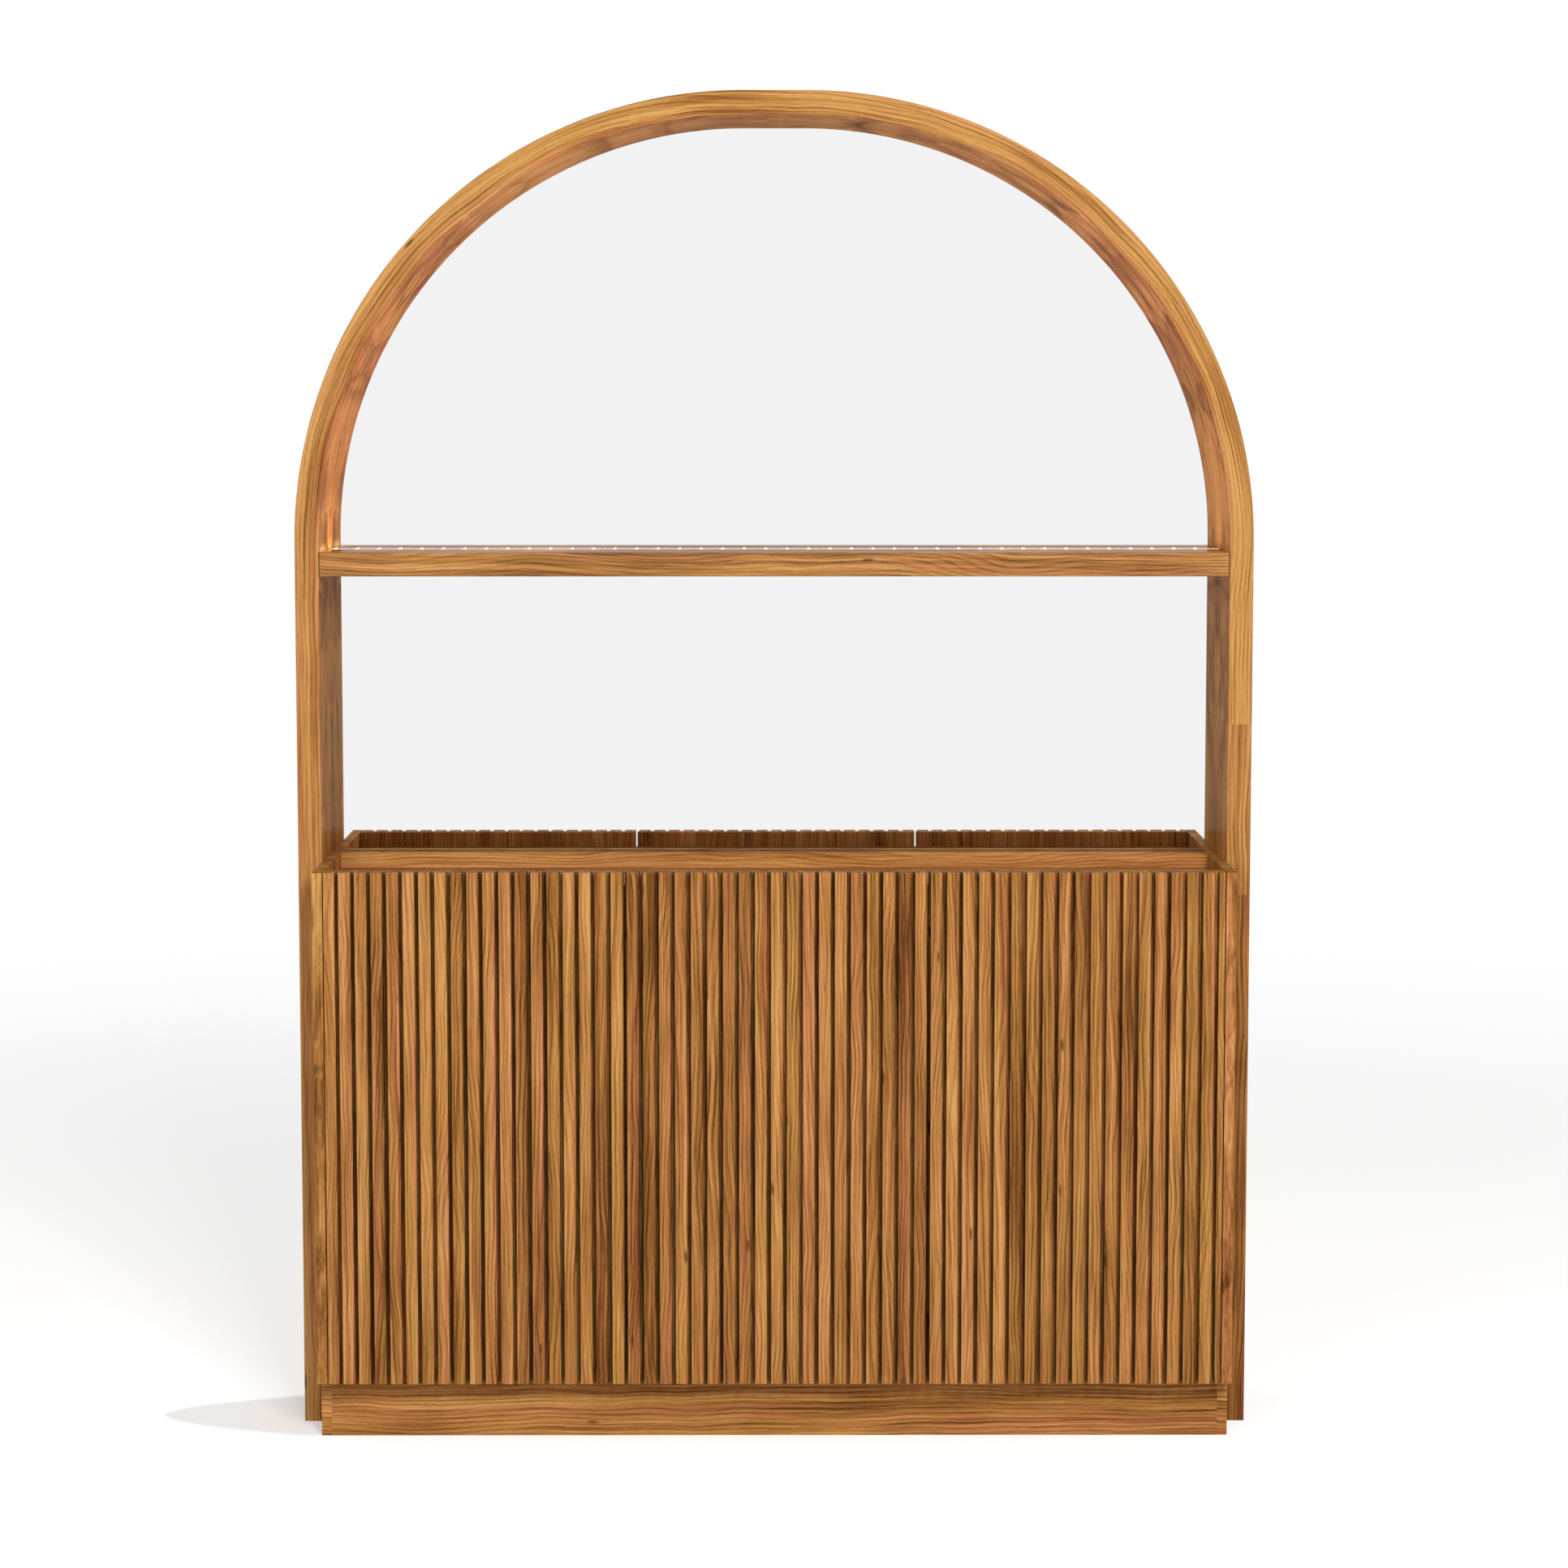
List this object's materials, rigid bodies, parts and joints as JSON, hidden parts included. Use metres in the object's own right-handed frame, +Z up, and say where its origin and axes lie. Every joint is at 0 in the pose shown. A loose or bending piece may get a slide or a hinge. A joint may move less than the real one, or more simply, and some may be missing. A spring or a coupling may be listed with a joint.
{
  "type": "back bar cabinet",
  "caption": "Arched back bar in warm hardwood with a mirror, a lit shelf and a slatted base cabinet with hinged doors under an open well.",
  "frame": {"origin": "on the floor, under the middle of the overall box", "axes": "+Z up, the doors face -Y, +X to the right of someone who faces the doors"},
  "size_m": [1.524, 0.33, 2.134],
  "materials": {
    "frame_wood": "satin oiled hardwood, grain along each piece",
    "shelf_wood": "satin oiled hardwood, grain across the unit",
    "carcass_wood": "satin oiled hardwood",
    "door_wood": "satin oiled hardwood, darker",
    "slat_wood": "satin oiled hardwood, upright grain",
    "plinth_wood": "satin oiled hardwood, darker",
    "backing_ply": "bare plywood",
    "dowel_wood": "bare wood",
    "mirror_glass": "clear silvered mirror",
    "tape": "satin",
    "lens": "clear lens over a warm white light",
    "driver_plastic": "fine texture",
    "catch_plastic": "fine texture",
    "steel": "satin nickel plated"
  },
  "bodies": {
    "root": {"left_leg_lower": "frame_wood", "left_leg_upper": "frame_wood", "right_leg_lower": "frame_wood", "right_leg_middle": "frame_wood", "right_leg_upper": "frame_wood", "left_bend": "frame_wood", "right_bend": "frame_wood", "crown_rail": "frame_wood", "shelf": "shelf_wood", "left_side": "carcass_wood", "right_side": "carcass_wood", "deck": "carcass_wood", "well_rail": "carcass_wood", "bottom_panel": "carcass_wood", "left_partition": "carcass_wood", "right_partition": "carcass_wood", "left_inner_shelf": "carcass_wood", "middle_inner_shelf": "carcass_wood", "right_inner_shelf": "carcass_wood", "toe_board": "plinth_wood", "rear_plinth": "plinth_wood", "back_board": "backing_ply", "cabinet_back": "backing_ply", "arch_dowels": "dowel_wood", "shelf_dowels": "dowel_wood", "mirror": "mirror_glass", "light_tape": "tape", "light_lenses": "lens", "light_driver": "driver_plastic", "catches": "catch_plastic", "board_screws": "steel", "shelf_pins": "steel", "leg_bolts": "steel", "left_hinge_arms": "steel", "middle_hinge_arms": "steel", "right_hinge_arms": "steel"},
    "left_door": {"left_door_backing": "door_wood", "left_door_slats": "slat_wood", "left_door_pins": "steel", "left_door_strike": "steel"},
    "middle_door": {"middle_door_backing": "door_wood", "middle_door_slats": "slat_wood", "middle_door_pins": "steel", "middle_door_strike": "steel"},
    "right_door": {"right_door_backing": "door_wood", "right_door_slats": "slat_wood", "right_door_pins": "steel", "right_door_strike": "steel"}
  },
  "joints": [
    {"name": "left_door_hinge", "type": "hinge", "parent": "root", "child": "left_door", "pos_m": [-0.6945, -0.1585, 0.5055], "axis": [0, 0, -1], "range_deg": [0, 95]},
    {"name": "middle_door_hinge", "type": "hinge", "parent": "root", "child": "middle_door", "pos_m": [-0.22208, -0.1585, 0.5055], "axis": [0, 0, -1], "range_deg": [0, 95]},
    {"name": "right_door_hinge", "type": "hinge", "parent": "root", "child": "right_door", "pos_m": [0.25458, -0.1585, 0.5055], "axis": [0, 0, -1], "range_deg": [0, 95]}
  ]
}
